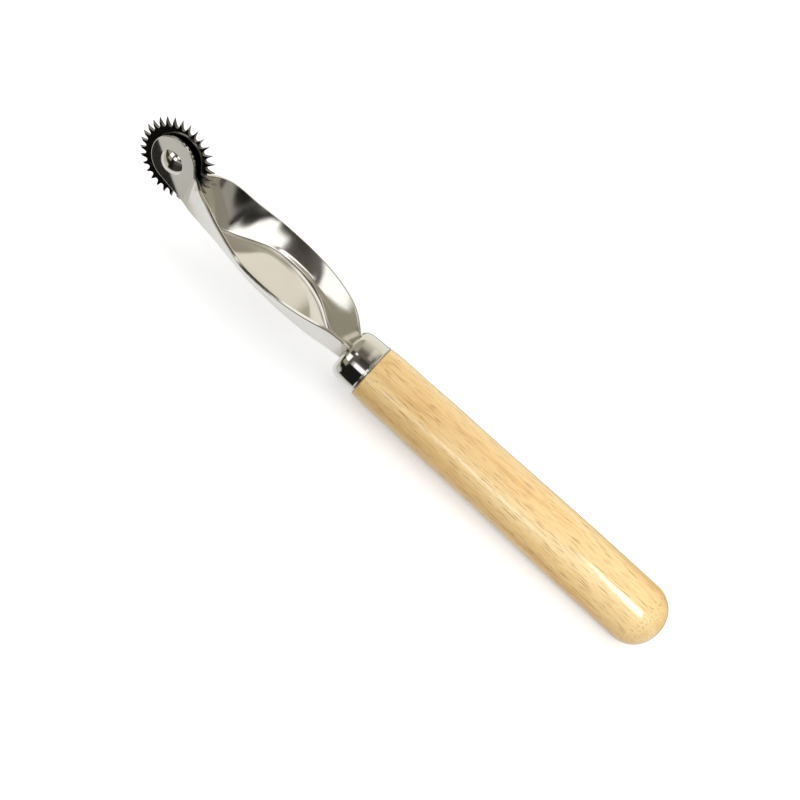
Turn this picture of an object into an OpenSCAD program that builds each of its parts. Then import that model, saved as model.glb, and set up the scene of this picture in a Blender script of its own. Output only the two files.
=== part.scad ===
// Tracing wheel: a toothed wheel carried in the folded sheet neck of a wooden handle.
// +X runs along the handle towards the wheel and +Z to the open side of the neck.
// The origin is on the handle's axis, where the straight butt section meets the rounded end.

/* [Handle] */
// Diameter of the straight butt section
butt_d = 15; // [13.8:0.1:18]
// Length of the straight butt section
butt_len = 16; // [8:0.5:24]
// Radius of the rounded butt end
butt_r = 6.8; // [4:0.1:6.9]
// Visible length of the wood, from the butt's end to the ferrule
handle_len = 84.8; // [70:0.1:100]
// Diameter of the wood behind its front shoulder
waist_d = 13.7; // [13.4:0.1:16]
// Diameter of the wood where it meets the ferrule
shoulder_d = 13.2; // [13:0.1:14]
// Length of the front shoulder
shoulder_len = 4; // [2:0.5:8]

/* [Ferrule] */
// Length of the ferrule
ferrule_len = 7.1; // [5.5:0.1:10]
// Outside diameter at the rear rim
ferrule_back_d = 12.8; // [12.6:0.1:13]
// Outside diameter behind the front shoulder
ferrule_front_d = 12.1; // [12:0.1:12.6]
// Radius of the rounded front shoulder
ferrule_r = 1.4; // [0.8:0.1:2]
// Thickness of the front wall
ferrule_wall = 0.6; // [0.4:0.1:1]
// Diameter of the tenon hole in the ferrule
ferrule_bore_d = 11; // [10.6:0.1:11.2]
// Radius of the rolled bead at the rear rim
bead_r = 0.4; // [0.2:0.05:0.5]

/* [Neck] */
// Thickness of the neck's sheet
sheet_t = 0.8; // [0.6:0.05:1]
// Distance from the ferrule's front face to the wheel's axle
neck_len = 54.8; // [52:0.1:64]
// Width of the channel across its top edges, at its widest
dish_w = 20.4; // [16:0.1:24]
// Height of the top edges over the handle's axis, in the middle
dish_z = 6.1; // [5:0.1:8]
// Width of the channel's floor, at its widest
floor_w = 13.2; // [10:0.1:14]
// Height of the floor over the handle's axis, in the middle
floor_z = 1.4; // [0.5:0.1:2]
// Largest radius of the bends between floor and walls
bend_r = 1.5; // [1:0.1:2]
// Width of the folded neck where it leaves the ferrule, across its top edges
root_w = 5.8; // [5:0.1:6.2]
// Height of the top edges over the handle's axis at the ferrule
root_z = 3.2; // [2.5:0.1:3.3]
// Width of the folded neck's floor at the ferrule
root_floor_w = 3.8; // [3:0.1:4.4]
// Height of the folded neck's floor over the handle's axis at the ferrule
root_floor_z = -1.8; // [-2.4:0.1:-1]
// Length of the tang inside the handle, from the ferrule's rear rim
tang_len = 16; // [8:0.5:24]

/* [Ears] */
// Height of the wheel's axle over the handle's axis
axle_z = 7.4; // [7:0.05:9]
// Radius of the ears' round ends
ear_r = 5.8; // [4.8:0.1:6]
// Height of the round ends' centre over the axle
ear_rise = 0.4; // [0:0.1:1]
// Clear gap between the ears
ear_gap = 1.4; // [1.3:0.05:1.8]
// Upward pitch of the ears' lower edge from the handle's axis, in degrees
ear_pitch = 10; // [6:0.5:13]

/* [Wheel] */
// Radius to the tips of the teeth
wheel_r = 9.65; // [8:0.05:10]
// Height of a tooth
tooth_h = 2; // [1.2:0.1:2.4]
// Length of the bevel that sharpens the teeth from the rivet head's side
bevel_len = 1.7; // [0.8:0.1:1.9]
// Thickness of the wheel
wheel_t = 0.8; // [0.5:0.05:0.85]
// Number of teeth
tooth_count = 30; // [20:1:36]
// Thickness left at the tips of the teeth
tip_t = 0.12; // [0.08:0.01:0.2]
// Turn of the first tooth from the handle's direction, in pitches
first_tooth = 0.13; // [0:0.01:1]

/* [Rivet] */
// Diameter of the shank that the wheel turns on
shank_d = 2.6; // [2:0.1:3]
// Diameter of the thinner tail through the far ear
tail_d = 1.8; // [1.4:0.1:1.9]
// Diameter of the domed head
head_d = 5.9; // [4.4:0.1:7]
// Height of the domed head
head_h = 1.3; // [0.8:0.1:1.8]
// Diameter of the peened end
peen_d = 3.6; // [3:0.1:4.4]
// Height of the peened end
peen_h = 0.8; // [0.5:0.1:1.2]

/* [Fits] */
// Running clearance between wheel and rivet, on the radius
run_gap = 0.05; // [0.02:0.01:0.09]
// Clearance between pieces that are pressed or driven together
seat_gap = 0.04; // [0.02:0.01:0.08]

/* [Hidden] */
$fn = 96;

rim_x = handle_len - butt_r;
face_x = rim_x + ferrule_len;
axle_x = face_x + neck_len;
ear_mid = (ear_gap + sheet_t) / 2;
ear_out = ear_gap / 2 + sheet_t;
ear_turn = 145; // where the ears' round ends begin, as a turn from +X towards +Z
ear_top = 1.1; // height of the neck's top edge over the axle, where the ears begin
ear_floor_z = -0.7;
foot_share = 0.89; // share of the neck's length from which the ears are flat plates
floor_share = 0.775; // share of the neck's length at which the floor has ended
floor_ramp = 2.5; // length over which the floor ends
tang_narrow = 1;
ear_centre = [axle_x, axle_z + ear_rise];
tenon_d = ferrule_bore_d - 2 * seat_gap;
tenon_len = ferrule_len - ferrule_wall - seat_gap;
bore_len = 200;
far_below = 30;
slot_reach = 5; // how far the tang's slot runs past the ferrule's front face

// Half-sections of the sheet's middle surface: half-width and height of the top edge,
// then half-width and height of the floor.
root_half = [root_w / 2, root_z, root_floor_w / 2, root_floor_z];
middle_half = [dish_w / 2, dish_z, floor_w / 2, floor_z];
ear_half = [ear_mid, axle_z + ear_top, ear_mid, ear_floor_z];
tang_half = [root_half[0] - tang_narrow, root_half[1] - 2 * tang_narrow, 1.5, -1.6];

// How far each measure has gone from the root's, or the ears', to the middle's.
// The first value is the share of the neck's length.
root_side = [
    [0, 0, 0, 0, 0],
    [0.055, 0.24, 0.62, 0.02, 0],
    [0.115, 0.49, 0.97, 0.12, 0],
    [0.16, 0.64, 1, 0.42, 0.24],
    [0.22, 0.79, 1, 0.74, 0.6],
    [0.285, 0.9, 1, 0.92, 0.8],
    [0.345, 0.97, 1, 1, 0.93],
    [0.42, 1, 1, 1, 1]
];
ear_side = [
    [0.5, 0.99, 0.95, 0.88, 0.98],
    [0.585, 0.88, 0.72, 0.56, 0.58],
    [0.655, 0.75, 0.52, 0.25, 0.18],
    [0.71, 0.66, 0.27, 0.08, 0.03],
    [0.765, 0.55, -0.05, 0, 0],
    [0.815, 0.38, -0.16, 0, 0],
    [0.885, 0, 0, 0, 0],
    [0.9, 0, 0, 0, 0]
];

function mix(a, b, t) = a + (b - a) * t;
function station(row, end) = concat(
    face_x + row[0] * neck_len,
    [for (i = [0:3]) mix(end[i], middle_half[i], row[i + 1])]
);
tang_end = concat(rim_x - tang_len, tang_half);
tang_start = concat(rim_x, tang_half);
stations = concat(
    [tang_end, tang_start],
    [for (row = root_side) station(row, root_half)],
    [for (row = ear_side) station(row, ear_half)]
);
last = len(stations) - 1;
steps_between = 2;

// Slope of the curve through the stations, at one of them. It is level where the curve turns.
function chord(i, c) = (stations[i + 1][c] - stations[i][c]) / (stations[i + 1][0] - stations[i][0]);
function slope(i, c) = i <= 1 || i == last ? 0
    : let (a = chord(i - 1, c), b = chord(i, c)) a * b <= 0 ? 0 : 2 * a * b / (a + b);
// Half-section at the share t of the way from station i to the next.
function between(i, t) = [for (c = [0:4])
    c == 0 ? mix(stations[i][0], stations[i + 1][0], t)
    : let (
        run = stations[i + 1][0] - stations[i][0],
        p = stations[i][c],
        q = stations[i + 1][c]
    ) mix(p, q, t * t * (3 - 2 * t))
        + run * t * (1 - t) * ((1 - t) * slope(i, c) - t * slope(i + 1, c))
];
half_sections = concat(
    [for (i = [0:last - 1], s = [0:steps_between - 1]) between(i, s / steps_between)],
    [stations[last]]
);

arc_steps = 4;
bend_share = 0.75; // largest bend radius, as a share of the floor's half-width
// One face of the sheet from its top edge to the middle of the floor, as [y, z] points.
// side is 1 for the outer face and -1 for the inner one.
function half_face(h, side, extra) =
    let (
        off = side * (sheet_t / 2 + extra),
        turn = atan2(h[2] - h[4], h[1] - h[3]),
        r = min(bend_r, bend_share * h[3]),
        centre = [h[3] - r * tan(turn / 2), h[4] + r],
        lift = extra * [cos(turn), sin(turn)]
    ) concat(
        [[h[1], h[2]] + off * [sin(turn), -cos(turn)] + lift],
        [for (k = [arc_steps:-1:0]) let (a = turn * k / arc_steps)
            centre + (r + off) * [sin(a), -cos(a)]],
        [[0, h[4] - off]]
    );
function mirrored(points) = [for (k = [len(points) - 2:-1:0]) [-points[k][0], points[k][1]]];
function reversed(points) = [for (k = [len(points) - 1:-1:0]) points[k]];
function ring(h, extra) =
    let (outer = half_face(h, 1, extra), inner = half_face(h, -1, extra))
    [for (p = concat(outer, mirrored(outer), reversed(concat(inner, mirrored(inner)))))
        [h[0], p[0], p[1]]];

// The folded sheet, or with extra the slot that it fits in.
module folded_sheet(sections, extra) {
    rings = [for (h = sections) ring(h, extra)];
    m = len(rings[0]);
    n = len(rings);
    cap = [for (k = [0:m / 2 - 2]) [k, k + 1, m - 2 - k, m - 1 - k]];
    sides = [for (i = [0:n - 2], k = [0:m - 1])
        let (a = i * m + k, b = i * m + (k + 1) % m) [a, b, b + m, a + m]];
    corners = concat(
        [for (q = sides) [q[0], q[1], q[2]]],
        [for (q = sides) [q[0], q[2], q[3]]]
    );
    polyhedron(
        points = [for (r = rings, p = r) p],
        faces = concat(
            [for (q = cap) reversed(q)],
            corners,
            [for (q = cap) [for (v = q) v + (n - 1) * m]]
        ),
        convexity = 6
    );
}

module along_x(x) {
    translate([x, 0, 0]) rotate([0, 90, 0]) children();
}
module along_y(y) {
    translate([axle_x, y, axle_z]) rotate([-90, 0, 0]) children();
}

// A plane shape in X and Z, raised along Y from y to y + t.
module side_plate(y, t) {
    translate([0, y + t, 0]) rotate([90, 0, 0]) linear_extrude(t) children();
}

// Half of a cap with a round top, d wide and h high, turned about its axis.
module dome(d, h) {
    sphere_r = (d * d / 4 + h * h) / (2 * h);
    intersection() {
        translate([0, 0, h - sphere_r]) sphere(r = sphere_r);
        cylinder(d = d, h = h);
    }
}

module tang_slot() {
    folded_sheet([for (h = half_sections) if (h[0] <= face_x + slot_reach) h], seat_gap);
}

module handle() {
    flat_r = butt_d / 2 - butt_r;
    color("burlywood") difference() {
        union() {
            along_x(0) rotate_extrude() {
                intersection() {
                    translate([flat_r, 0]) circle(r = butt_r);
                    translate([0, -butt_r]) square([butt_d / 2, butt_r]);
                }
                if (flat_r > 0) translate([0, -butt_r]) square([flat_r, butt_r]);
                polygon([
                    [0, 0], [butt_d / 2, 0], [butt_d / 2, butt_len],
                    [waist_d / 2, rim_x - shoulder_len], [shoulder_d / 2, rim_x], [0, rim_x]
                ]);
            }
            along_x(rim_x) cylinder(d = tenon_d, h = tenon_len);
        }
        tang_slot();
    }
}

module ferrule() {
    back_r = ferrule_back_d / 2;
    front_r = ferrule_front_d / 2;
    color("silver") difference() {
        along_x(rim_x) rotate_extrude() {
            difference() {
                union() {
                    polygon([
                        [0, 0], [back_r, 0], [back_r, bead_r],
                        [front_r, ferrule_len - ferrule_r], [0, ferrule_len - ferrule_r]
                    ]);
                    square([front_r - ferrule_r, ferrule_len]);
                    translate([front_r - ferrule_r, ferrule_len - ferrule_r]) intersection() {
                        circle(r = ferrule_r);
                        square(ferrule_r);
                    }
                    translate([back_r - bead_r / 2, 2 * bead_r]) circle(r = bead_r);
                }
                square([ferrule_bore_d / 2, ferrule_len - ferrule_wall]);
            }
        }
        tang_slot();
    }
}

// One ear's outline, in X and Z, from where the walls have become parallel.
module ear_outline() {
    foot_x = face_x + foot_share * neck_len;
    tangent = ear_centre + ear_r * [sin(ear_pitch), -cos(ear_pitch)];
    translate(ear_centre) circle(r = ear_r);
    polygon([
        [foot_x, tangent[1] - (tangent[0] - foot_x) * tan(ear_pitch)],
        tangent,
        ear_centre,
        ear_centre + ear_r * [cos(ear_turn), sin(ear_turn)],
        [foot_x, ear_half[1]]
    ]);
}

// What is cut away under the ears: the floor ends here and the two walls part.
module under_ears() {
    tangent = ear_centre + ear_r * [sin(ear_pitch), -cos(ear_pitch)];
    notch_x = face_x + floor_share * neck_len;
    notch_z = tangent[1] - (tangent[0] - notch_x) * tan(ear_pitch);
    side_plate(-far_below, 2 * far_below) polygon([
        [notch_x - floor_ramp, -far_below], [notch_x - floor_ramp / 2, ear_floor_z - sheet_t],
        [notch_x, notch_z],
        tangent, [tangent[0], -far_below]
    ]);
}

module neck() {
    color("gainsboro") difference() {
        union() {
            difference() {
                folded_sheet(half_sections, 0);
                under_ears();
            }
            for (y = [ear_gap / 2, -ear_out]) side_plate(y, sheet_t) ear_outline();
        }
        along_y(0) cylinder(d = shank_d + 2 * seat_gap, h = bore_len);
        along_y(-bore_len) cylinder(d = tail_d + 2 * seat_gap, h = bore_len);
    }
}

module axle_rivet() {
    color("silver") {
        along_y(ear_out) dome(head_d, head_h);
        along_y(-ear_gap / 2) cylinder(d = shank_d, h = ear_out + ear_gap / 2);
        along_y(-ear_out) cylinder(d = tail_d, h = sheet_t);
        mirror([0, 1, 0]) along_y(ear_out) dome(peen_d, peen_h);
    }
}

// One tooth's outline from root to root, as [radius, turn in pitches] points.
tooth_side = [[0, 0.42], [0.06, 0.3], [0.3, 0.17], [0.65, 0.07], [1, 0.015]];
tip_over = 0.1; // how far the bevel is drawn past the tips
// Height of the bevel over the wheel's middle plane, at a distance outside the tips' circle.
function bevel_y(out) = tip_t - wheel_t / 2 - out * (wheel_t - tip_t) / bevel_len;
module wheel() {
    root_r = wheel_r - tooth_h;
    pitch = 360 / tooth_count;
    outline = [for (i = [0:tooth_count - 1], p = concat(
            [for (s = tooth_side) [s[0], -s[1]]],
            reversed(tooth_side)
        )) (root_r + p[0] * tooth_h) * [cos((i + p[1]) * pitch), sin((i + p[1]) * pitch)]];
    color("dimgray") along_y(0) rotate(first_tooth * pitch) difference() {
        intersection() {
            translate([0, 0, -wheel_t / 2]) linear_extrude(wheel_t) polygon(outline);
            rotate_extrude() polygon([
                [0, -wheel_t], [wheel_r + tip_over, -wheel_t], [wheel_r + tip_over, bevel_y(tip_over)],
                [wheel_r - 2 * bevel_len, bevel_y(-2 * bevel_len)], [0, bevel_y(-2 * bevel_len)]
            ]);
        }
        translate([0, 0, -wheel_t]) cylinder(d = shank_d + 2 * run_gap, h = 2 * wheel_t);
    }
}

handle();
ferrule();
neck();
axle_rivet();
wheel();
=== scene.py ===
"""Looks of the tracing wheel: lacquered wooden handle, nickel-plated ferrule and folded neck, domed rivet
and toothed wheel. Constants and outlines are in millimetres, settings are in metres."""

import math

import bmesh
import bpy
from bpy.props import FloatProperty, FloatVectorProperty, IntProperty, PointerProperty
from mathutils import Matrix, Vector


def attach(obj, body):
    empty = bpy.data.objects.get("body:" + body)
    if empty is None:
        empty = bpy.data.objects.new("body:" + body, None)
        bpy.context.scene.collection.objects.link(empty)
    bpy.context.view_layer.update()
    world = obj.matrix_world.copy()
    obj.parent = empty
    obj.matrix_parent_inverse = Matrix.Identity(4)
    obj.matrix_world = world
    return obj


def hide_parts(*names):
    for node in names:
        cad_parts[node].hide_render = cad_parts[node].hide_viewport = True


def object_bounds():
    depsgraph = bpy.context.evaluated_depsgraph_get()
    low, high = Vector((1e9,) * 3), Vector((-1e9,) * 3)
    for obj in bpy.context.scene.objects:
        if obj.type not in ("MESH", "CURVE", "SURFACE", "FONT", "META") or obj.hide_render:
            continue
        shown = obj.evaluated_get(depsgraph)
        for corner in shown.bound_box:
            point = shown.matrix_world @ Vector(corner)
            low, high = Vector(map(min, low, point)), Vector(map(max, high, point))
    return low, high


bl_info = {
    "name": "Tracing wheel",
    "version": (1, 0, 0),
    "blender": (4, 5, 0),
    "location": "View3D > Sidebar > Tracing wheel",
    "description": "Builds the pieces, finishes and stage of a wooden-handled tracing wheel",
    "category": "Object",
}

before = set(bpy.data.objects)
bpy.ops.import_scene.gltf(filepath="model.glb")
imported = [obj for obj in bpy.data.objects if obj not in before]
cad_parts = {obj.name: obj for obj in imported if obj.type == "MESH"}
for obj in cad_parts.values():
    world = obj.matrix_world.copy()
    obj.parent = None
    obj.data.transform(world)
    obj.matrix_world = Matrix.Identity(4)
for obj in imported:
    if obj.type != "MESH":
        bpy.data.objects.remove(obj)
CAD_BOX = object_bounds()
MM = 0.001

# Places that the pieces share: x runs from the butt's corner to the wheel, y to the rivet's head, z up.
RIM_X = 78.0  # ferrule's rear rim, where the wood ends
FACE_X = 85.1  # ferrule's front face
NECK_LEN = 54.8  # from there to the rivet
AXLE_X = FACE_X + NECK_LEN
AXLE_Z = 7.4
SHEET = 0.8  # thickness of the neck's sheet
EAR_GAP = 1.4
EAR_MID = (EAR_GAP + SHEET) / 2
EAR_OUT = EAR_GAP / 2 + SHEET
EAR_R = 5.8  # the ears' round ends, about a point just above the rivet
EAR_Z = AXLE_Z + 0.4
EAR_PITCH = math.radians(10)  # slope of the ears' lower edge
EAR_TURN = math.radians(145)  # where the ears' upper edge meets the round end
EAR_TOP = AXLE_Z + 1.1
EAR_FLOOR = -0.7
FOOT_X = FACE_X + 0.89 * NECK_LEN  # from here on the ears are upright
FLOOR_END_X = FACE_X + 0.775 * NECK_LEN
FLOOR_RAMP = 1.25  # over this length the lower edge drops from the ears to the floor's end
TANG_LEN = 16.0
BEND_R = 1.5
CROWN_TURN = math.radians(8)  # slope of the crowned floor beside each bend
EVEN_OUT = 1.3  # how far along the neck each section is evened out with its neighbours
# Along the neck, in shares of its length: how much the walls lean in above the bend, then how much they cup.
BOWS = (
    (0.1, 0, 0),
    (0.2, 0.012, 0.045),
    (0.27, 0.02, 0.02),
    (0.33, 0.05, 0),
    (0.42, 0.045, 0.04),
    (0.52, 0, 0.07),
    (0.62, 0, -0.08),
    (0.68, 0, -0.03),
    (0.73, 0, 0.1),
    (0.8, 0, 0.1),
    (0.88, 0, 0),
)
# The ears lean out past a line above the rivet: a point on it from the rivet, the way it faces, the slope
# past it, how far its fold is rounded, where along the neck the lean begins and over what length it grows.
LEAN_POINT = (4.6, 1.5)
LEAN_WAY = (-0.62, 0.78)
LEAN_SLOPE = 0.09
LEAN_ROUND = 0.4
LEAN_X = 127.0
LEAN_RUN = 5.2

WALL_STEPS = 20
BEND_STEPS = 8
SIDE_STEPS = WALL_STEPS + BEND_STEPS
FLOOR_STEPS = 20

# Half-sections of the sheet's middle surface: half-width and height of the top edge, then of the floor.
ROOT = (2.9, 3.2, 1.9, -1.8)
MIDDLE = (10.2, 6.1, 6.6, 1.4)
EARS = (EAR_MID, EAR_TOP, EAR_MID, EAR_FLOOR)
TANG = (1.9, 1.2, 1.5, -1.6)
# Share of the neck's length, then how far each measure has gone from the end's to the middle's.
ROOT_SIDE = (
    (0, 0, 0, 0, 0),
    (0.055, 0.24, 0.62, 0.02, 0),
    (0.115, 0.49, 0.97, 0.12, 0),
    (0.16, 0.64, 1, 0.42, 0.24),
    (0.22, 0.79, 1, 0.74, 0.6),
    (0.285, 0.9, 1, 0.92, 0.8),
    (0.345, 0.97, 1, 1, 0.93),
    (0.42, 1, 1, 1, 1),
)
EAR_SIDE = (
    (0.5, 0.99, 0.95, 0.88, 0.98),
    (0.585, 0.88, 0.72, 0.56, 0.58),
    (0.655, 0.75, 0.52, 0.25, 0.18),
    (0.71, 0.66, 0.27, 0.08, 0.03),
    (0.765, 0.55, -0.05, 0, 0),
    (0.815, 0.38, -0.16, 0, 0),
    (0.885, 0, 0, 0, 0),
    (0.9, 0, 0, 0, 0),
)


# ---------------------------------------------------------------- settings


class HandleSettings(bpy.types.PropertyGroup):
    wood: FloatVectorProperty(
        name="Wood", description="Main colour of the wood", subtype="COLOR", size=3,
        default=(0.94, 0.64, 0.27),
    )
    pore: FloatVectorProperty(
        name="Pores", description="Colour of the short dark pores", subtype="COLOR", size=3,
        default=(0.42, 0.2, 0.06),
    )
    gloss: FloatProperty(
        name="Lacquer roughness", description="Roughness of the clear lacquer", default=0.1, min=0, max=1,
        subtype="FACTOR",
    )


class PlatingSettings(bpy.types.PropertyGroup):
    nickel: FloatVectorProperty(
        name="Nickel", description="Colour of the nickel plating", subtype="COLOR", size=3,
        default=(0.83, 0.81, 0.78),
    )
    neck_roughness: FloatProperty(
        name="Neck roughness", description="Roughness of the folded sheet", default=0.11, min=0, max=1,
        subtype="FACTOR",
    )
    ferrule_roughness: FloatProperty(
        name="Ferrule roughness", description="Roughness of the ferrule and rivet", default=0.07, min=0,
        max=1, subtype="FACTOR",
    )
    edge: FloatProperty(
        name="Edge radius", description="Rounding of the sheet's cut edges", default=0.0002, min=0,
        unit="LENGTH", precision=5,
    )


class WheelSettings(bpy.types.PropertyGroup):
    teeth: IntProperty(name="Teeth", description="Number of teeth", default=30, min=8, max=60)
    tip_radius: FloatProperty(
        name="Tip radius", description="Radius to the tips of the teeth", default=0.00965, unit="LENGTH",
        precision=5,
    )
    tooth: FloatProperty(
        name="Tooth height", description="Height of a tooth", default=0.002, unit="LENGTH", precision=5
    )
    thickness: FloatProperty(
        name="Thickness", description="Thickness of the wheel", default=0.0008, unit="LENGTH", precision=5
    )
    bevel: FloatProperty(
        name="Bevel length", description="Length of the bevel from a tooth's tip", default=0.0009,
        unit="LENGTH", precision=5,
    )
    steel: FloatVectorProperty(
        name="Steel", description="Colour of the wheel's plating", subtype="COLOR", size=3,
        default=(0.22, 0.215, 0.21),
    )


class StageSettings(bpy.types.PropertyGroup):
    distance: FloatProperty(
        name="Camera distance", description="From the camera to the middle of the picture", default=0.329,
        unit="LENGTH",
    )
    elevation: FloatProperty(
        name="Camera elevation", description="Height of the view over the level", default=math.acos(0.745),
        subtype="ANGLE",
    )
    roll: FloatProperty(
        name="Camera roll", description="Slant of the tool across the picture", default=math.radians(42.29),
        subtype="ANGLE",
    )
    width: FloatProperty(
        name="View width", description="Width of the picture at its middle", default=0.17544, unit="LENGTH",
        precision=5,
    )
    world: FloatProperty(
        name="Soft light", description="Strength of the light from all round", default=0.98, min=0,
    )
    key: FloatProperty(
        name="Key light", description="Power of the small lamp over the handle's butt", default=0.012, min=0,
        unit="POWER",
    )


# ---------------------------------------------------------------- meshes


def plain_object(name, verts, faces):
    """A new object at the origin from points in millimetres."""
    mesh = bpy.data.meshes.new(name)
    mesh.from_pydata([Vector(v) * MM for v in verts], [], faces)
    mesh.validate()
    obj = bpy.data.objects.new(name, mesh)
    bpy.context.scene.collection.objects.link(obj)
    return obj


def turn_out(mesh):
    """Points the normals of a closed mesh outwards."""
    bm = bmesh.new()
    bm.from_mesh(mesh)
    bmesh.ops.recalc_face_normals(bm, faces=bm.faces)
    bm.to_mesh(mesh)
    bm.free()


def baked(obj, name):
    """A plain mesh object from obj's modifiers, in place of obj."""
    graph = bpy.context.evaluated_depsgraph_get()
    graph.update()
    done = obj.evaluated_get(graph)
    mesh = bpy.data.meshes.new_from_object(done, preserve_all_data_layers=True, depsgraph=graph)
    old = obj.data
    bpy.data.objects.remove(obj)
    bpy.data.meshes.remove(old)
    mesh.name = name
    out = bpy.data.objects.new(name, mesh)
    bpy.context.scene.collection.objects.link(out)
    return out


def smooth(obj, angle):
    """Smooth shading, with edges sharper than angle, in degrees, kept crisp."""
    obj.data.polygons.foreach_set("use_smooth", [True] * len(obj.data.polygons))
    obj.data.set_sharp_from_angle(angle=math.radians(angle))


def eased(t):
    """A smooth rise from 0 to 1, level beyond them."""
    t = min(1, max(0, t))
    return t * t * (3 - 2 * t)


def mixed(a, b, t):
    """The values that lie the share t of the way from a to b."""
    return [p + (q - p) * t for p, q in zip(a, b)]


def band(a, b):
    """Faces between two rows of points."""
    return [(a[k], a[k + 1], b[k + 1], b[k]) for k in range(len(a) - 1)]


def thickened(name, verts, faces, thickness, edge, steps=5):
    """A closed sheet round its middle surface, with rounded cut edges that stand out by edge."""
    bm = bmesh.new()
    points = [bm.verts.new(v) for v in verts]
    for face in faces:
        bm.faces.new([points[i] for i in face])
    bmesh.ops.recalc_face_normals(bm, faces=bm.faces)
    bm.normal_update()
    bm.verts.index_update()
    # the two faces of the sheet
    half = thickness / 2
    out, normals, quads = [], [], []
    for side in (1, -1):
        out += [v.co + v.normal * half * side for v in bm.verts]
        normals += [v.normal * side for v in bm.verts]
    count = len(points)
    for f in bm.faces:
        ids = [v.index for v in f.verts]
        quads += [ids, [i + count for i in reversed(ids)]]
    # the rim's edges, and the ways out of the sheet at its points
    rim, aside = [], {}
    for e in bm.edges:
        if len(e.link_faces) == 1:
            loop = e.link_loops[0]
            a, b = loop.vert, loop.link_loop_next.vert
            away = (b.co - a.co).cross(loop.face.normal).normalized()
            rim.append((a.index, b.index))
            for v in (a, b):
                aside.setdefault(v.index, []).append(away)
    # across the rim: how far out, how high and which way it faces
    bends = [math.pi / 2 * k / steps for k in range(steps + 1)]
    profile = [(edge * math.sin(a), half - edge + edge * math.cos(a), a) for a in bends]
    profile += [(edge * math.cos(a), edge - half - edge * math.sin(a), a + math.pi / 2) for a in bends]
    strips = {}
    for i, ways in aside.items():
        v = points[i]
        way = sum(ways, Vector()).normalized()
        way = (way - v.normal * way.dot(v.normal)).normalized()
        reach = 1 / max(0.7, way.dot(ways[0]))
        ids = [i]
        for d, h, a in profile[1:-1]:
            ids.append(len(out))
            out.append(v.co + way * d * reach + v.normal * h)
            normals.append(way * math.sin(a) + v.normal * math.cos(a))
        strips[i] = ids + [i + count]
    for a, b in rim:
        for k in range(len(profile) - 1):
            p, q = strips[a], strips[b]
            quads.append([q[k], p[k], p[k + 1], q[k + 1]])
    bm.free()
    obj = plain_object(name, out, quads)
    obj.data.polygons.foreach_set("use_smooth", [True] * len(obj.data.polygons))
    obj.data.normals_split_custom_set_from_vertices([n.normalized() for n in normals])
    return obj


def lathe(name, profile, axis, centre=(0, 0, 0), steps=128):
    """A closed turned piece. profile holds (along, radius) in millimetres and starts and ends on the axis."""
    verts, faces, rings = [], [], []
    for along, r in profile:
        if r < 1e-6:
            rings.append([len(verts)])
            turns = [0.0]
        else:
            rings.append(list(range(len(verts), len(verts) + steps)))
            turns = [2 * math.pi * k / steps for k in range(steps)]
        for a in turns:
            p, q = r * math.cos(a), r * math.sin(a)
            x, y, z = (along, p, q) if axis == "X" else (p, along, q)
            verts.append((x + centre[0], y + centre[1], z + centre[2]))
    for a, b in zip(rings, rings[1:]):
        for k in range(steps):
            n = (k + 1) % steps
            if len(a) == 1:
                faces.append((a[0], b[k], b[n]))
            elif len(b) == 1:
                faces.append((a[k], b[0], a[n]))
            else:
                faces.append((a[k], b[k], b[n], a[n]))
    obj = plain_object(name, verts, faces)
    turn_out(obj.data)
    return obj


def arc(cx, cy, r, start, end, steps):
    """Points of an arc from start to end, in degrees."""
    turns = [math.radians(start + (end - start) * k / steps) for k in range(steps + 1)]
    return [(cx + r * math.cos(a), cy + r * math.sin(a)) for a in turns]


def curve_through(points, step):
    """Smooth values between (x, value) points, without overshoot, every step along x."""
    n = len(points)
    chords = [(points[i + 1][1] - points[i][1]) / (points[i + 1][0] - points[i][0]) for i in range(n - 1)]
    slopes = [chords[0]]
    for a, b in zip(chords, chords[1:]):
        slopes.append(0 if a * b <= 0 else 2 * a * b / (a + b))
    slopes.append(chords[-1])
    out = []
    for i in range(n - 1):
        (x0, p), (x1, q) = points[i], points[i + 1]
        count = max(1, round((x1 - x0) / step))
        for k in range(count):
            t = k / count
            run = x1 - x0
            value = p + (q - p) * eased(t)
            value += run * t * (1 - t) * ((1 - t) * slopes[i] - t * slopes[i + 1])
            out.append((x0 + run * t, value))
    out.append(points[-1])
    return out


# ---------------------------------------------------------------- finishes


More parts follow.
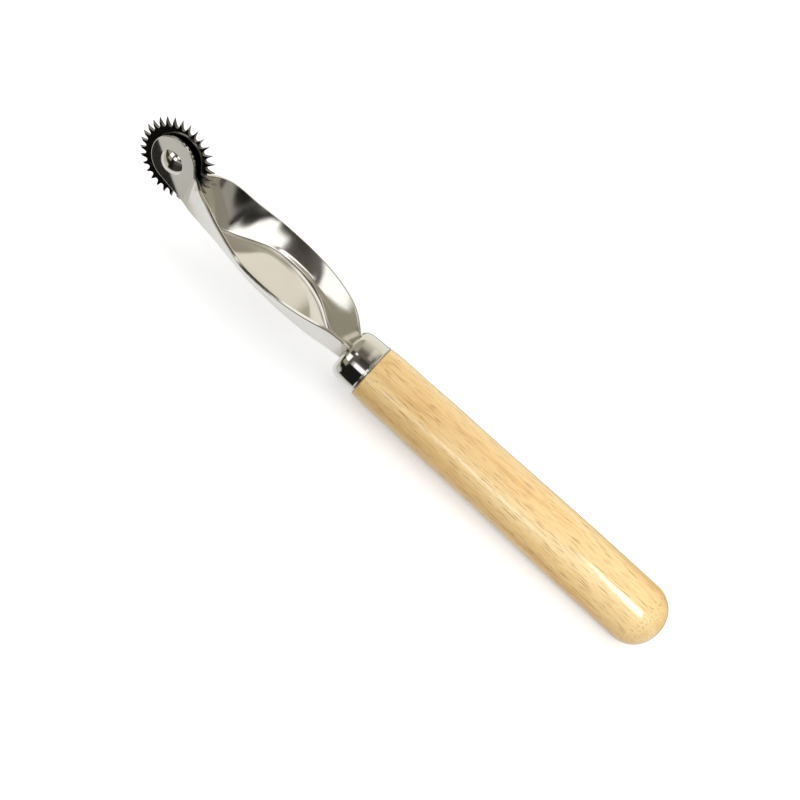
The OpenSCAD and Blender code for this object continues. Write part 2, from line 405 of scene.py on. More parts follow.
class Nodes:
    """A short way to fill a node tree."""

    def __init__(self, tree):
        self.tree = tree
        tree.nodes.clear()

    def add(self, kind, values=None, **settings):
        node = self.tree.nodes.new(kind)
        for key, value in settings.items():
            setattr(node, key, value)
        for key, value in (values or {}).items():
            node.inputs[key].default_value = value
        return node

    def join(self, out, socket):
        self.tree.links.new(out, socket)

    def math(self, operation, a, b=None, c=None, clamp=False):
        node = self.add("ShaderNodeMath", operation=operation, use_clamp=clamp)
        for i, value in enumerate((a, b, c)):
            if value is None:
                continue
            if isinstance(value, (int, float)):
                node.inputs[i].default_value = value
            else:
                self.join(value, node.inputs[i])
        return node.outputs[0]

    def ramp(self, value, stops, interpolation="LINEAR"):
        node = self.add("ShaderNodeValToRGB")
        node.color_ramp.interpolation = interpolation
        while len(node.color_ramp.elements) < len(stops):
            node.color_ramp.elements.new(0.5)
        for element, (place, colour) in zip(node.color_ramp.elements, stops):
            element.position = place
            element.color = (*colour, 1)
        self.join(value, node.inputs[0])
        return node.outputs[0]

    def mix(self, factor, a, b):
        node = self.add("ShaderNodeMix", data_type="RGBA")
        # inputs 6 and 7 and output 2 are the colour ones
        for socket, value in ((node.inputs[0], factor), (node.inputs[6], a), (node.inputs[7], b)):
            if isinstance(value, (int, float)):
                socket.default_value = value
            elif isinstance(value, (tuple, list)):
                socket.default_value = (*value, 1)
            else:
                self.join(value, socket)
        return node.outputs[2]

    def noise(self, vector, scale, detail=2.0, roughness=0.5, distortion=0.0):
        node = self.add(
            "ShaderNodeTexNoise",
            {"Scale": scale, "Detail": detail, "Roughness": roughness, "Distortion": distortion},
        )
        self.join(vector, node.inputs["Vector"])
        return node.outputs["Fac"]

    def stretched(self, scale):
        """The piece's own coordinates, scaled along each axis."""
        where = self.add("ShaderNodeTexCoord")
        node = self.add("ShaderNodeMapping", {"Scale": scale})
        self.join(where.outputs["Object"], node.inputs["Vector"])
        return node.outputs[0]


def bare_material(name):
    """A material with nothing but its output, its nodes, and the socket for its surface."""
    mat = bpy.data.materials.new(name)
    mat.use_nodes = True
    nodes = Nodes(mat.node_tree)
    return mat, nodes, nodes.add("ShaderNodeOutputMaterial").inputs["Surface"]


def material(name):
    """A material with its nodes and its main shader."""
    mat, nodes, surface = bare_material(name)
    shader = nodes.add("ShaderNodeBsdfPrincipled")
    nodes.join(shader.outputs[0], surface)
    return mat, nodes, shader


def nickel(name, colour, roughness, grain):
    """Bright nickel plate over steel with a faint grain."""
    mat, n, shader = material(name)
    shader.inputs["Metallic"].default_value = 1
    fine = n.noise(n.stretched((1, 1, 1)), 5200, 3, 0.6)
    cloudy = n.noise(n.stretched((1, 1, 1)), 160, 2, 0.5)
    tint = n.mix(cloudy, tuple(c * 0.94 for c in colour), tuple(min(1, c * 1.04) for c in colour))
    n.join(tint, shader.inputs["Base Color"])
    rough = n.math("MULTIPLY_ADD", fine, 0.06, roughness - 0.03)
    n.join(rough, shader.inputs["Roughness"])
    bump = n.add("ShaderNodeBump", {"Strength": grain, "Distance": 0.00002})
    n.join(fine, bump.inputs["Height"])
    n.join(bump.outputs[0], shader.inputs["Normal"])
    return mat


def lacquered_wood(settings):
    """Pale wood under clear lacquer, with a broad figure, fine fibres and short dark pores lengthwise."""
    mat, n, shader = material("lacquered_wood")
    broad = n.noise(n.stretched((14, 160, 160)), 1.0, 3, 0.55, 0.6)
    fibre = n.noise(n.stretched((60, 1500, 1500)), 1.0, 2, 0.6)
    pores = n.noise(n.stretched((260, 6200, 6200)), 1.0, 1, 0.4)
    wood = settings.wood
    light = tuple(min(1, c * k) for c, k in zip(wood, (1.1, 1.2, 1.45)))
    dark = tuple(c * k for c, k in zip(wood, (0.84, 0.72, 0.55)))
    base = n.ramp(broad, ((0.3, dark), (0.5, tuple(wood)), (0.72, light)))
    base = n.mix(n.ramp(fibre, ((0.35, (0, 0, 0)), (0.65, (0.35, 0.35, 0.35)))), base, light)
    streak = n.ramp(pores, ((0.58, (0, 0, 0)), (0.70, (0.75, 0.75, 0.75))))
    base = n.mix(streak, base, tuple(settings.pore))
    n.join(base, shader.inputs["Base Color"])
    shader.inputs["Roughness"].default_value = 0.42
    shader.inputs["Coat Weight"].default_value = 0.8
    shader.inputs["Coat Roughness"].default_value = settings.gloss
    shader.inputs["Coat IOR"].default_value = 1.5
    bump = n.add("ShaderNodeBump", {"Strength": 0.15, "Distance": 0.00004})
    n.join(fibre, bump.inputs["Height"])
    n.join(bump.outputs[0], shader.inputs["Normal"])
    return mat


# ---------------------------------------------------------------- pieces


class TW_OT_handle(bpy.types.Operator):
    """Turned wooden handle, with its tenon inside the ferrule"""

    bl_idname = "tracing_wheel.handle"
    bl_label = "Handle"

    def execute(self, context):
        body_r, corner_r = 7.5, 6.8
        tenon_r, tenon_end, chamfer = 5.46, RIM_X + 6.46, 0.16
        butt = arc(0, body_r - corner_r, corner_r, 180, 90, 24)
        # (distance from the corner's end, radius)
        side = curve_through(
            ((0, body_r), (15.5, 7.5), (26, 7.4), (37, 7.25), (48, 7.1), (59, 7.05), (67, 6.87),
             (74.5, 6.85), (75.6, 6.78), (77.2, 6.67), (RIM_X, 6.6)), 1.0,
        )
        profile = [(-corner_r, 0)] + butt + side[1:] + [(RIM_X, tenon_r)]
        profile += [(tenon_end - chamfer, tenon_r), (tenon_end, tenon_r - chamfer), (tenon_end, 0)]
        obj = lathe("handle_wood", profile, "X", steps=160)
        smooth(obj, 35)
        obj.data.materials.append(lacquered_wood(context.scene.tw_handle))
        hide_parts("handle")
        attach(obj, "frame")
        return {"FINISHED"}


class TW_OT_ferrule(bpy.types.Operator):
    """Pressed ferrule with a rounded front shoulder and a small bead at its rear rim"""

    bl_idname = "tracing_wheel.ferrule"
    bl_label = "Ferrule"

    def execute(self, context):
        x = RIM_X
        bore_r, bore_end, rim_r, shoulder_r = 5.5, x + 6.5, 6.2, 0.75
        profile = [(bore_end, 0), (bore_end, bore_r), (x, bore_r), (x, rim_r)]
        profile += arc(x + 0.45, rim_r, 0.4, 180, 62, 10)
        side = (
            (0.85, 6.44), (1.3, 6.42), (2.8, 6.394), (4.3, 6.3),
            (5, 6.22), (5.8, 6.04), (6.4, 5.77), (6.85, 5.3),
        )
        profile += curve_through([(x + u, r) for u, r in side], 0.12)
        profile += arc(FACE_X - shoulder_r, 4.8, shoulder_r, 30, 0, 6)
        profile += [(FACE_X, 0)]
        obj = lathe("ferrule_cup", profile, "X", steps=160)
        smooth(obj, 40)
        settings = context.scene.tw_plating
        obj.data.materials.append(nickel("nickel_ferrule", settings.nickel, settings.ferrule_roughness, 0.05))
        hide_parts("ferrule")
        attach(obj, "frame")
        return {"FINISHED"}


def neck_sections():
    """Rows of x, the top edge's half-width and height, and the floor's, along the neck's middle surface."""

    def station(row, end):
        return [FACE_X + row[0] * NECK_LEN] + [e + (m - e) * s for e, m, s in zip(end, MIDDLE, row[1:])]

    stations = [[RIM_X - TANG_LEN, *TANG], [RIM_X, *TANG]]
    stations += [station(row, ROOT) for row in ROOT_SIDE] + [station(row, EARS) for row in EAR_SIDE]
    curves = [curve_through([(s[0], s[c]) for s in stations], 0.5) for c in range(1, 5)]
    rows = [[curves[0][i][0]] + [curve[i][1] for curve in curves] for i in range(len(curves[0]))]
    run_in = 3  # the evening out grows over this length from each end of the opened part
    out = []
    for row in rows:
        x = row[0]
        spread = EVEN_OUT * min(1, max(0, (x - FACE_X) / run_in), max(0, (FOOT_X - x) / run_in))
        if spread < 0.05:
            out.append(row)
            continue
        near = [r for r in rows if abs(r[0] - x) < 4 * spread]
        weights = [math.exp(-0.5 * ((r[0] - x) / spread) ** 2) for r in near]
        means = [sum(w * r[c] for w, r in zip(weights, near)) / sum(weights) for c in range(1, 5)]
        out.append([x] + means)
    return out


def between(rows, share, column):
    """A column's value at a share, smooth between rows and level beyond them."""
    if share <= rows[0][0]:
        return rows[0][column]
    for a, b in zip(rows, rows[1:]):
        if share < b[0]:
            return a[column] + (b[column] - a[column]) * eased((share - a[0]) / (b[0] - a[0]))
    return rows[-1][column]


def side_curve(row, inset):
    """One side of a section, from the top edge down to where the bend meets the floor, as (y, z) points."""
    x, top_y, top_z, floor_y, floor_z = row
    turn = math.atan2(top_z - floor_z, top_y - floor_y)
    r = min(BEND_R, 0.75 * floor_y)
    cy, cz = floor_y - r * math.tan(turn / 2), floor_z + r
    turns = [turn - (turn + CROWN_TURN) * k / BEND_STEPS for k in range(BEND_STEPS + 1)]
    bend = [(cy + r * math.sin(a), cz - r * math.cos(a)) for a in turns]
    top_y, top_z = top_y - inset * math.cos(turn), top_z - inset * math.sin(turn)
    run_y, run_z = bend[0][0] - top_y, bend[0][1] - top_z
    lean, cup = (between(BOWS, (x - FACE_X) / NECK_LEN, c) for c in (1, 2))
    wall = []
    for k in range(WALL_STEPS):
        t = k / WALL_STEPS
        # the lean ends just above the bend
        aside = lean * min(t, (1 - t) * 4.5) + cup * t * (1 - t)
        wall.append((top_y + run_y * t + run_z * aside, top_z + run_z * t - run_y * aside))
    return wall + bend


def cut_low(points, z):
    """The side's points above the height z."""
    out = [points[0]]
    for p, q in zip(points, points[1:]):
        if q[1] < z:
            out.append(mixed(p, q, (p[1] - z) / (p[1] - q[1])))
            return out
        out.append(q)
    return out


def runs_along(points):
    """Length of a line up to each of its points."""
    runs = [0.0]
    for p, q in zip(points, points[1:]):
        runs.append(runs[-1] + math.dist(p, q))
    return runs


def along(points, shares):
    """Points at shares of a line's length."""
    runs = runs_along(points)
    out = []
    for share in shares:
        goal, i = share * runs[-1], 0
        while i < len(runs) - 2 and runs[i + 1] < goal:
            i += 1
        t = (goal - runs[i]) / max(1e-9, runs[i + 1] - runs[i])
        out.append(mixed(points[i], points[i + 1], t))
    return out


def ear_lean(x, z):
    """How far the sheet still stands out from the ear's plane, up and back from the rivet."""
    past = (x - AXLE_X - LEAN_POINT[0]) * LEAN_WAY[0] + (z - AXLE_Z - LEAN_POINT[1]) * LEAN_WAY[1]
    return LEAN_SLOPE / 2 * eased((x - LEAN_X) / LEAN_RUN) * (past + math.hypot(past, LEAN_ROUND))


def neck_columns(inset):
    """The neck's sides as columns (x, points), short of its outline by inset, and how many have a floor."""
    ear_r, cut_x = EAR_R - inset, FLOOR_END_X - FLOOR_RAMP
    low_x, low_z = AXLE_X + ear_r * math.sin(EAR_PITCH), EAR_Z - ear_r * math.cos(EAR_PITCH)
    turn_x, turn_z = AXLE_X + ear_r * math.cos(EAR_TURN), EAR_Z + ear_r * math.sin(EAR_TURN)

    def low(x):
        """Height of the lower edge."""
        if x < FLOOR_END_X:
            t = (FLOOR_END_X - x) / FLOOR_RAMP
            return low(FLOOR_END_X) * (1 - t) + (EAR_FLOOR + inset) * t
        if x < low_x:
            return low_z - (low_x - x) * math.tan(EAR_PITCH)
        return EAR_Z - math.sqrt(max(0, ear_r**2 - (x - AXLE_X) ** 2))

    def high(x):
        """Height of the ears' upper edge."""
        if x < turn_x:
            return EAR_TOP - inset + (turn_z - EAR_TOP + inset) * (x - FOOT_X) / (turn_x - FOOT_X)
        return EAR_Z + math.sqrt(max(0, ear_r**2 - (x - AXLE_X) ** 2))

    rows = neck_sections()
    end_x = cut_x - inset
    a, b = max(r for r in rows if r[0] <= end_x), min(r for r in rows if r[0] > end_x)
    end = mixed(a, b, (end_x - a[0]) / (b[0] - a[0]))
    columns = [(r[0], side_curve(r, inset)) for r in rows if r[0] < cut_x - 0.3]
    columns.append((end_x, side_curve(end, inset)))
    full = len(columns)

    # past the floor the points even out towards the ears
    runs = runs_along(columns[-1][1])
    last = [r / runs[-1] for r in runs]
    even = [k / SIDE_STEPS for k in range(SIDE_STEPS + 1)]
    for x in sorted({r[0] for r in rows if cut_x < r[0] < FOOT_X - 0.1} | {FLOOR_END_X}):
        row = min(rows, key=lambda r: abs(r[0] - x))
        side = cut_low(side_curve(row, inset), low(x))
        columns.append((x, along(side, mixed(last, even, eased((x - cut_x) / 5)))))
    flat_steps, round_steps = 6, 40
    ear_xs = [FOOT_X + (turn_x - FOOT_X) * k / flat_steps for k in range(flat_steps)]
    ear_xs += [AXLE_X + ear_r * math.cos(EAR_TURN * (1 - k / round_steps)) for k in range(round_steps)]
    columns += [(x, along([(EAR_MID, high(x)), (EAR_MID, low(x))], even)) for x in ear_xs]
    return columns, full


def neck_sheet(inset):
    """The neck's middle surface, short of its outline by inset: a channel that opens into the finger rest and
    parts into two ears."""
    columns, full = neck_columns(inset)
    verts, ids = [], []
    for i, (x, side) in enumerate(columns):
        points = [(y + ear_lean(x, z), z) for y, z in side]
        near = [len(verts) + k for k in range(SIDE_STEPS + 1)]
        far = [k + len(near) for k in near]
        verts += [(x, y, z) for y, z in points] + [(x, -y, z) for y, z in points]
        floor = []
        if i < full:
            y, z = points[-1]
            floor = [near[-1]] + [len(verts) + k for k in range(FLOOR_STEPS - 1)] + [far[-1]]
            for k in range(1, FLOOR_STEPS):
                share = math.cos(math.pi * k / FLOOR_STEPS)
                rise = y * math.tan(CROWN_TURN) / 8 * (1 - share**8)
                verts.append((x, y * share, z + rise))
        ids.append((near, far, floor))
    faces = []
    for (near, far, floor), (next_near, next_far, next_floor) in zip(ids, ids[1:]):
        faces += band(near, next_near) + band(next_far, far)
        if floor and next_floor:
            faces += band(floor, next_floor)
    # the foremost point of each ear
    tip, tip_x = len(verts), AXLE_X + EAR_R - inset
    y = EAR_MID + ear_lean(tip_x, EAR_Z)
    verts += [(tip_x, y, EAR_Z), (tip_x, -y, EAR_Z)]
    near, far, _ = ids[-1]
    for k in range(SIDE_STEPS):
        faces += [(near[k], near[k + 1], tip), (far[k], tip + 1, far[k + 1])]
    return verts, faces


class TW_OT_neck(bpy.types.Operator):
    """Folded sheet neck: tang, finger rest and two ears, in one piece"""

    bl_idname = "tracing_wheel.neck"
    bl_label = "Neck"

    def execute(self, context):
        settings = context.scene.tw_plating
        edge = settings.edge / MM
        obj = thickened("neck_sheet", *neck_sheet(edge), SHEET, edge)
        obj.data.materials.append(nickel("nickel_neck", settings.nickel, settings.neck_roughness, 0.22))
        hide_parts("neck")
        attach(obj, "frame")
        return {"FINISHED"}


def cap(d, h, y, side, edge):
    """A rivet cap's outline from its middle to its rim: d wide, h high over y, with its rim rounded."""
    ball = (d * d / 4 + h * h) / (2 * h)
    half = math.degrees(math.asin((d / 2 - edge) / ball))
    middle = y + side * (h - ball)
    dome = [(middle + side * along_y, r) for along_y, r in arc(0, 0, ball, 0, half, 20)]
    low = (dome[-1][0] - y) * side
    return dome + [(y + side * low * 0.55, d / 2 - edge * 0.25), (y + side * low * 0.2, d / 2), (y, d / 2)]


class TW_OT_rivet(bpy.types.Operator):
    """Axle rivet: domed head, stepped shank and peened end"""

    bl_idname = "tracing_wheel.rivet"
    bl_label = "Rivet"

    def execute(self, context):
        head_d, head_h, head_foot, peen_d, peen_h = 5.9, 1.3, 0.1, 3.6, 0.8
        shank_r, tail_r = 1.3, 0.9
        profile = cap(head_d, head_h, EAR_OUT + head_foot, 1, 0.08) + [(EAR_OUT, head_d / 2)]
        profile += [(EAR_OUT, shank_r), (-EAR_GAP / 2, shank_r), (-EAR_GAP / 2, tail_r), (-EAR_OUT, tail_r)]
        profile += cap(peen_d, peen_h, -EAR_OUT, -1, 0.1)[::-1]
        obj = lathe("axle_rivet_turned", profile, "Y", (AXLE_X, 0, AXLE_Z), 96)
        smooth(obj, 50)
        settings = context.scene.tw_plating
        obj.data.materials.append(nickel("nickel_rivet", settings.nickel, settings.ferrule_roughness, 0.05))
        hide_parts("axle_rivet")
        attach(obj, "frame")
        return {"FINISHED"}


def tooth_sector(s):
    """One tooth and its share of the disc, about the origin, with its tooth along +X, in millimetres."""
    tip, height, half = s.tip_radius / MM, s.tooth / MM, s.thickness / MM / 2
    bevel, edge, bore = s.bevel / MM, 0.12, 1.35
    root, start = tip - height, tip - bevel
    pitch = 2 * math.pi / s.teeth

    # half a tooth's width in shares of the pitch, at shares of its height, with a row where the bevel starts
    outline = curve_through(((0, 0.42), (0.06, 0.3), (0.3, 0.17), (0.65, 0.07), (1, 0.015)), 0.06)
    share = (start - root) / height
    if 0 < share < 1:
        i = next(k for k, p in enumerate(outline) if p[0] > share)
        a, b = outline[i - 1], outline[i]
        outline.insert(i, mixed(a, b, (share - a[0]) / (b[0] - a[0])))

    # the disc's rows reach half a pitch to both sides and have one column more at each end than the tooth's
    across = (-1, -0.7, -0.35, 0, 0.35, 0.7, 1)
    disc = (bore, 3, 5, 6.6, 7.2, root)
    rows = [(r, [-0.5] + [outline[0][1] * a for a in across] + [0.5]) for r in disc]
    rows += [(root + share * height, [turn * a for a in across]) for share, turn in outline[1:]]
    verts, near, far = [], [], []
    for r, turns in rows:
        y = half if r <= start else -half + edge + (tip - r) * (2 * half - edge) / bevel
        for ids, level in ((near, y), (far, -half)):
            ids.append([len(verts) + k for k in range(len(turns))])
            verts += [(r * math.cos(a * pitch), level, -r * math.sin(a * pitch)) for a in turns]

    faces, last = [], len(disc) - 1
    for i in range(len(rows) - 1):
        inner = slice(1, -1) if i == last else slice(None)
        faces += band(near[i][inner], near[i + 1]) + band(far[i + 1], far[i][inner])
    # walls between the two sides: the gaps beside the tooth, its flanks, its tip and the bore
    faces += band(near[last][:2], far[last][:2]) + band(near[last][-2:], far[last][-2:])
    for inner, outer in ((1, 0), (-2, -1)):
        lines = [[ids[last][inner]] + [row[outer] for row in ids[last + 1:]] for ids in (near, far)]
        faces += band(*lines)
    faces += band(near[-1], far[-1]) + band(near[0], far[0])
    return verts, faces


def ring_tree():
    """Geometry nodes that repeat a sector round the Y axis and weld the copies into one wheel."""
    tree = bpy.data.node_groups.new("Sector ring", "GeometryNodeTree")
    inputs = (("Geometry", "Geometry"), ("Teeth", "Int"), ("First turn", "Float"), ("Weld distance", "Float"),
              ("Material", "Material"))
    for name, kind in inputs:
        tree.interface.new_socket(name, in_out="INPUT", socket_type="NodeSocket" + kind)
    tree.interface.new_socket("Geometry", in_out="OUTPUT", socket_type="NodeSocketGeometry")
    n = Nodes(tree)
    given, out = n.add("NodeGroupInput"), n.add("NodeGroupOutput")
    points = n.add("GeometryNodeMeshLine", {"Offset": (0, 0, 0)})
    n.join(given.outputs["Teeth"], points.inputs["Count"])
    pitch = n.math("DIVIDE", 2 * math.pi, given.outputs["Teeth"])
    turn = n.math("ADD", n.add("GeometryNodeInputIndex").outputs[0], given.outputs["First turn"])
    rotation = n.add("ShaderNodeCombineXYZ")
    n.join(n.math("MULTIPLY", turn, pitch), rotation.inputs["Y"])
    copies = n.add("GeometryNodeInstanceOnPoints")
    n.join(points.outputs["Mesh"], copies.inputs["Points"])
    n.join(given.outputs["Geometry"], copies.inputs["Instance"])
    n.join(rotation.outputs[0], copies.inputs["Rotation"])
    real = n.add("GeometryNodeRealizeInstances")
    n.join(copies.outputs[0], real.inputs[0])
    weld = n.add("GeometryNodeMergeByDistance")
    n.join(real.outputs[0], weld.inputs["Geometry"])
    n.join(given.outputs["Weld distance"], weld.inputs["Distance"])
    finish = n.add("GeometryNodeSetMaterial")
    n.join(weld.outputs[0], finish.inputs["Geometry"])
    n.join(given.outputs["Material"], finish.inputs["Material"])
    n.join(finish.outputs[0], out.inputs[0])
    return tree


class TW_OT_wheel(bpy.types.Operator):
    """Toothed wheel, sharpened from the rivet head's side"""

    bl_idname = "tracing_wheel.wheel"
    bl_label = "Wheel"

    def execute(self, context):
        s = context.scene.tw_wheel
        sector = plain_object("wheel_sector", *tooth_sector(s))
        steel = nickel("wheel_steel", s.steel, 0.09, 0.05)
        ring = sector.modifiers.new("Ring", "NODES")
        ring.node_group = ring_tree()
        values = {"Teeth": s.teeth, "First turn": 0.13, "Weld distance": 2e-6, "Material": steel}
        for item in ring.node_group.interface.items_tree:
            if item.in_out == "INPUT" and item.name in values:
                ring[item.identifier] = values[item.name]
        obj = baked(sector, "toothed_wheel")
        turn_out(obj.data)
        obj.data.transform(Matrix.Translation(Vector((AXLE_X, 0, AXLE_Z)) * MM))
        smooth(obj, 25)
        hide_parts("wheel")
        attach(obj, "wheel")
        return {"FINISHED"}


# ---------------------------------------------------------------- stage


SENSOR = 36.0
VIEW_MIDDLE = (69.25, 0.297, -0.331)
KEY_AT = (-60, 195, 219)
KEY_AIM = (3, 0, 0)

# Brightness round the object's long axis, from the level behind it (-180) under the floor (-90), the level in
# front (0) and overhead (90): what the polished metal mirrors.
ROUND = (
    (-180, (0.90, 0.90, 0.83)),
    (-170, (0.85, 0.85, 0.79)),
    (-157, (0.30, 0.29, 0.26)),
    (-142, (0.50, 0.49, 0.45)),
    (-130, (0.80, 0.80, 0.77)),
    (-105, (0.82, 0.82, 0.80)),
    (-85, (0.80, 0.80, 0.77)),
    (-70, (0.60, 0.60, 0.55)),
    (-55, (0.38, 0.375, 0.33)),
    (0, (0.42, 0.41, 0.36)),
    (9, (1.00, 1.00, 0.98)),
    (14, (1.45, 1.45, 1.42)),
    (22, (1.45, 1.45, 1.42)),
    (26, (0.60, 0.59, 0.56)),
    (29.5, (0.10, 0.088, 0.075)),
    (44, (0.055, 0.048, 0.04)),
    (52, (0.05, 0.045, 0.038)),
    (62, (0.15, 0.135, 0.11)),
    (75, (0.14, 0.12, 0.10)),
    (86, (0.22, 0.20, 0.165)),
    (95, (0.42, 0.395, 0.33)),
    (110, (0.55, 0.525, 0.43)),
    (125, (0.72, 0.68, 0.57)),
    (140, (0.87, 0.82, 0.71)),
    (180, (0.90, 0.90, 0.83)),
)

# Patches laid over it: from and to in degrees round the long axis, then towards the axis, softness, and tone.
PATCHES = (
    (-75, -38, 34, 95, 4, (0.55, 0.53, 0.46)),
    (-36, -14, 34, 95, 4, (0.085, 0.075, 0.062)),
    (-14, 9, 17, 44, 3, (0.36, 0.34, 0.25)),
    (5, 60, 43, 95, 3, (0.36, 0.34, 0.25)),
    (5, 60, 11, 27, 2, (0.12, 0.11, 0.10)),
    (-60, 31, -95, -17, 3, (0.015, 0.014, 0.013)),
    (20, 44, -95, -24, 3, (0.012, 0.011, 0.01)),
    (31, 43.5, -21, -0.5, 2, (1.4, 1.4, 1.35)),
    (-14, 9, -95, -5, 3, (0.09, 0.085, 0.075)),
    (9, 24, -60, -8, 2, (0.33, 0.32, 0.29)),
    (-64, -12, -95, -8, 3, (0.04, 0.037, 0.03)),
    (68, 122, -20, 3, 3, (1.1, 1.08, 1.0)),
    (60, 124, -95, -20, 3, (0.34, 0.325, 0.27)),
    (60, 130, 20, 95, 5, (0.38, 0.36, 0.28)),
    (120, 190, -95, -9, 4, (0.42, 0.40, 0.31)),
    (-190, -150, -95, -6, 4, (0.42, 0.40, 0.31)),
    (14, 23, -5, 0, 1.5, (5, 5, 5)),
    (50, 58, 14, 21, 2, (1.3, 1.3, 1.25)),
    (-66, -45.5, 14.5, 33, 1.5, (0.58, 0.57, 0.53)),
    (8, 37, 20.5, 45, 2, (1.3, 1.3, 1.25)),
)


def surround():
    """A large dome that only mirror-like surfaces see: soft boxes, dark gaps and pale walls of a studio."""
    mesh = bpy.data.meshes.new("surround")
    bm = bmesh.new()
    bmesh.ops.create_icosphere(bm, subdivisions=4, radius=8)
    bm.to_mesh(mesh)
    bm.free()
    dome = bpy.data.objects.new("surround", mesh)
    bpy.context.scene.collection.objects.link(dome)
    for ray in ("camera", "diffuse", "transmission", "volume_scatter", "shadow"):
        setattr(dome, "visible_" + ray, False)
    mat, n, surface = bare_material("surround")
    mat.cycles.emission_sampling = "NONE"
    where = n.add("ShaderNodeTexCoord")
    unit = n.add("ShaderNodeVectorMath", operation="NORMALIZE")
    n.join(where.outputs["Object"], unit.inputs[0])
    axes = n.add("ShaderNodeSeparateXYZ")
    n.join(unit.outputs[0], axes.inputs[0])
    turn = n.math("ARCTAN2", axes.outputs["Z"], axes.outputs["Y"])
    lean = n.math("MULTIPLY", n.math("ARCSINE", axes.outputs["X"]), 180 / math.pi)
    share = n.math("MULTIPLY_ADD", turn, 0.5 / math.pi, 0.5)
    degrees = n.math("MULTIPLY", turn, 180 / math.pi)
    colour = n.ramp(share, [((d + 180) / 360, c) for d, c in ROUND], "EASE")

    def step(value, start, end):
        """A smooth rise from 0 at start to 1 at end."""
        ends = {"From Min": start, "From Max": end}
        node = n.add("ShaderNodeMapRange", ends, interpolation_type="SMOOTHSTEP")
        n.join(value, node.inputs["Value"])
        return node.outputs[0]

    # the dark floor in front, whose near edge runs askew
    edge = n.math("MULTIPLY_ADD", step(lean, 13, 19), 27, -65)
    past = n.math("MULTIPLY_ADD", n.math("SUBTRACT", degrees, edge), 1 / 7, 0.5, clamp=True)
    colour = n.mix(n.math("MULTIPLY", past, step(degrees, 9, 5)), colour, (0.013, 0.012, 0.011))

    def patch(colour, turn_from, turn_to, lean_from, lean_to, soft, tone):
        """Lays a soft-edged patch of light or dark over the dome."""
        inside = 1.0
        for value, start, end in ((degrees, turn_from, turn_to), (lean, lean_from, lean_to)):
            risen = step(value, start - soft, start + soft)
            left = step(value, end + soft, end - soft)
            inside = n.math("MULTIPLY", inside, n.math("MULTIPLY", risen, left))
        return n.mix(inside, colour, tone)

    for values in PATCHES:
        colour = patch(colour, *values)
    glow = n.add("ShaderNodeEmission")
    n.join(colour, glow.inputs["Color"])
    n.join(glow.outputs[0], surface)
    mesh.materials.append(mat)


def aimed_camera(scene, s):
    """The camera, rolled so that the tool lies slanting across the picture."""
    tool = Vector((1, 0, 0))
    toward = Vector((0, math.cos(s.elevation), math.sin(s.elevation)))
    rise = Vector((0, -toward.z, toward.y))
    right = math.sin(s.roll) * rise - math.cos(s.roll) * tool
    up = math.cos(s.roll) * rise + math.sin(s.roll) * tool
    camera = bpy.data.objects.new("camera", bpy.data.cameras.new("camera"))
    camera.data.sensor_width = SENSOR
    camera.data.lens = SENSOR * s.distance / s.width
    camera.data.clip_start = 0.01
    place = Matrix((right, up, toward)).transposed().to_4x4()
    place.translation = Vector(VIEW_MIDDLE) * MM + toward * s.distance
    camera.matrix_world = place
    scene.collection.objects.link(camera)
    scene.camera = camera


def white_floor():
    """A floor that is white to the camera and keeps the tool's shadow, and is dimmer to all other rays."""
    z = CAD_BOX[0][2] / MM - 0.1
    corners = [(-900, -900, z), (1000, -900, z), (1000, 900, z), (-900, 900, z)]
    floor = plain_object("floor", corners, [(0, 1, 2, 3)])
    mat, n, surface = bare_material("floor_white")
    white = n.add("ShaderNodeBsdfDiffuse", {"Color": (0.8, 0.8, 0.8, 1)})
    glow = n.add("ShaderNodeEmission", {"Color": (1, 1, 1, 1), "Strength": 0.4})
    both = n.add("ShaderNodeAddShader")
    n.join(white.outputs[0], both.inputs[0])
    n.join(glow.outputs[0], both.inputs[1])
    dim = n.add("ShaderNodeBsdfDiffuse", {"Color": (0.45, 0.45, 0.45, 1)})
    pick = n.add("ShaderNodeMixShader")
    n.join(n.add("ShaderNodeLightPath").outputs["Is Camera Ray"], pick.inputs[0])
    n.join(dim.outputs[0], pick.inputs[1])
    n.join(both.outputs[0], pick.inputs[2])
    n.join(pick.outputs[0], surface)
    floor.data.materials.append(mat)
    floor.visible_glossy = False


def soft_world(scene, s):
    """Even light from all round, white to the camera."""
    world = bpy.data.worlds.new("studio")
    world.use_nodes = True
    scene.world = world
    n = Nodes(world.node_tree)
    seen = n.add("ShaderNodeLightPath").outputs["Is Camera Ray"]
    sky = n.add("ShaderNodeBackground", {"Color": (1, 1, 1, 1)})
    n.join(n.math("MULTIPLY_ADD", seen, 1 - s.world, s.world), sky.inputs["Strength"])
    n.join(sky.outputs[0], n.add("ShaderNodeOutputWorld").inputs["Surface"])


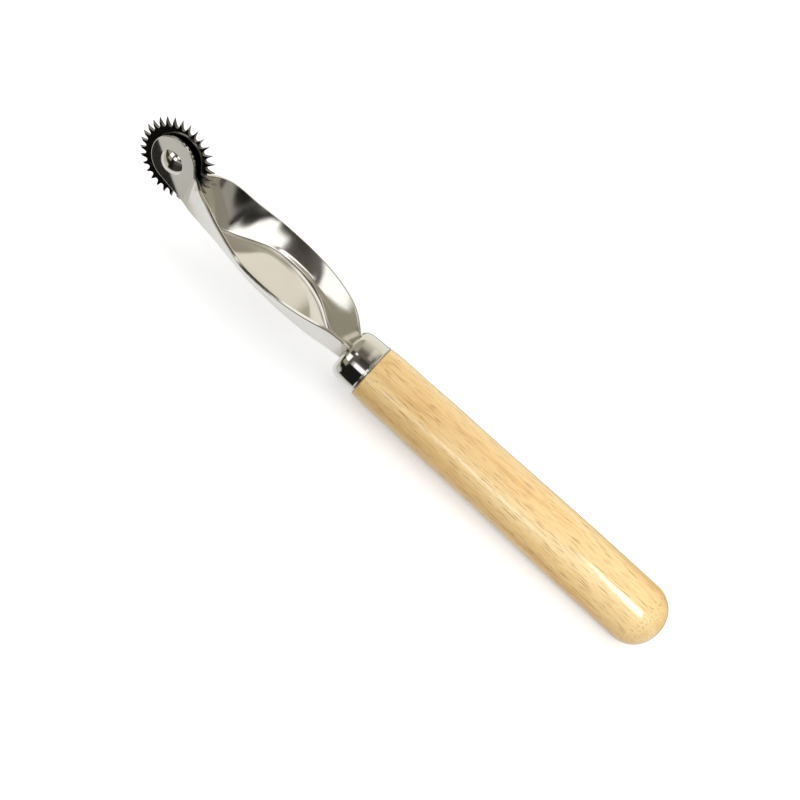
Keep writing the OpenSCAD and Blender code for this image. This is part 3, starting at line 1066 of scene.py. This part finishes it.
def key_lamp(scene, s):
    """A small lamp with a narrow beam, which gives the handle's butt its highlight."""
    lamp = bpy.data.objects.new("key", bpy.data.lights.new("key", "AREA"))
    lamp.data.shape = "RECTANGLE"
    lamp.data.size = 0.04
    lamp.data.size_y = 0.2
    lamp.data.energy = s.key
    lamp.data.spread = math.radians(28)
    lamp.location = Vector(KEY_AT) * MM
    lamp.rotation_euler = (Vector(KEY_AIM) * MM - lamp.location).to_track_quat("-Z", "Y").to_euler()
    scene.collection.objects.link(lamp)


class TW_OT_stage(bpy.types.Operator):
    """Camera, lamp, white floor and the studio's surround"""

    bl_idname = "tracing_wheel.stage"
    bl_label = "Stage"

    def execute(self, context):
        scene, settings = context.scene, context.scene.tw_stage
        scene.view_settings.view_transform = "Standard"
        aimed_camera(scene, settings)
        white_floor()
        soft_world(scene, settings)
        surround()
        key_lamp(scene, settings)
        return {"FINISHED"}


class TW_PT_panel(bpy.types.Panel):
    """Lists the pieces and the stage"""

    bl_label = "Tracing wheel"
    bl_idname = "TW_PT_panel"
    bl_space_type = "VIEW_3D"
    bl_region_type = "UI"
    bl_category = "Tracing wheel"

    def draw(self, context):
        for operator in OPERATORS:
            self.layout.operator(operator.bl_idname)
        for group in SETTINGS:
            box = self.layout.box()
            owner = getattr(context.scene, group)
            for key in owner.__annotations__:
                box.prop(owner, key)


OPERATORS = (TW_OT_stage, TW_OT_handle, TW_OT_ferrule, TW_OT_neck, TW_OT_rivet, TW_OT_wheel)
SETTINGS = {
    "tw_handle": HandleSettings,
    "tw_plating": PlatingSettings,
    "tw_wheel": WheelSettings,
    "tw_stage": StageSettings,
}
CLASSES = (*SETTINGS.values(), *OPERATORS, TW_PT_panel)


def register():
    for cls in CLASSES:
        bpy.utils.register_class(cls)
    for name, group in SETTINGS.items():
        setattr(bpy.types.Scene, name, PointerProperty(type=group))


def unregister():
    for name in SETTINGS:
        delattr(bpy.types.Scene, name)
    for cls in reversed(CLASSES):
        bpy.utils.unregister_class(cls)


def main():
    register()
    bpy.ops.tracing_wheel.stage()
    bpy.ops.tracing_wheel.handle()
    bpy.ops.tracing_wheel.ferrule()
    bpy.ops.tracing_wheel.neck()
    bpy.ops.tracing_wheel.rivet()
    bpy.ops.tracing_wheel.wheel()


if __name__ == "__main__":
    main()
